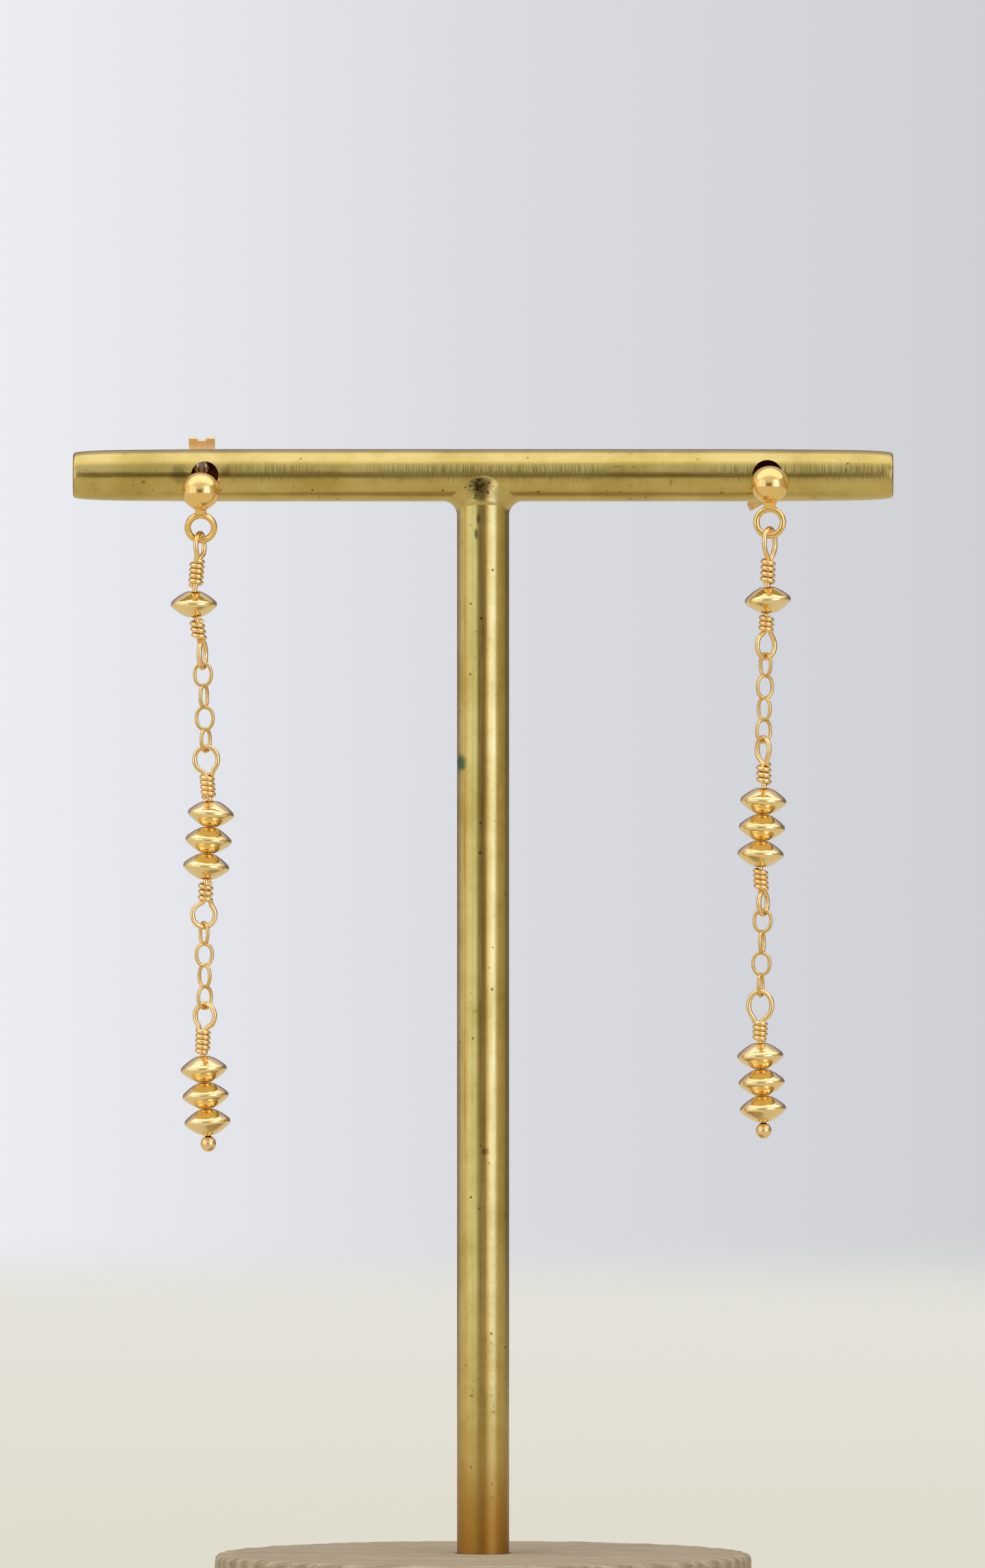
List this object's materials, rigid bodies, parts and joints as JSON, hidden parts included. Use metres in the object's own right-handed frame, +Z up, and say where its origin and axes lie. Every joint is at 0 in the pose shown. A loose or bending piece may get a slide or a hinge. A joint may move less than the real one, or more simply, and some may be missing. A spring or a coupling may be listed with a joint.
{
  "type": "pair of bead-and-chain dangle earrings on a T-bar display stand",
  "caption": "Long gold dangle earrings with wire-wrapped saucer beads and fine cable chain below ball studs, hung on a brass T-bar stand with a round wooden base.",
  "frame": {"origin": "centre of the wooden base's underside, on the table under the pole's axis", "axes": "+Z up along the pole, +X along the crossbar towards the viewer's right, the earrings' fronts face -Y"},
  "size_m": [0.087, 0.057, 0.1342],
  "materials": {
    "wood": "sawn, unvarnished hardwood with open grain",
    "brass": "polished tube, lightly scratched and tarnished",
    "gold": "bright yellow gold-filled, mirror polished"
  },
  "bodies": {
    "stand": {"stand_base": "wood", "t_bar": "brass", "left_stud": "gold", "left_clutch": "gold", "right_stud": "gold", "right_clutch": "gold"},
    "left_drop": {"left_eye_link_1": "gold", "left_saucer_1": "gold", "left_chain_upper": "gold", "left_eye_link_2": "gold", "left_saucer_2": "gold", "left_saucer_3": "gold", "left_saucer_4": "gold", "left_chain_lower": "gold", "left_head_pin": "gold", "left_saucer_5": "gold", "left_saucer_6": "gold", "left_saucer_7": "gold"},
    "right_drop": {"right_eye_link_1": "gold", "right_saucer_1": "gold", "right_chain_upper": "gold", "right_eye_link_2": "gold", "right_saucer_2": "gold", "right_saucer_3": "gold", "right_saucer_4": "gold", "right_chain_lower": "gold", "right_head_pin": "gold", "right_saucer_5": "gold", "right_saucer_6": "gold", "right_saucer_7": "gold"}
  },
  "joints": [
    {"name": "left_drop_swing", "type": "hinge", "parent": "stand", "child": "left_drop", "pos_m": [-0.0299, -0.00256, 0.1231], "axis": [1, 0, 0], "range_deg": [-80, 80]},
    {"name": "right_drop_swing", "type": "hinge", "parent": "stand", "child": "right_drop", "pos_m": [0.03035, -0.00454, 0.12357], "axis": [1, 0, 0], "range_deg": [-80, 80]}
  ]
}
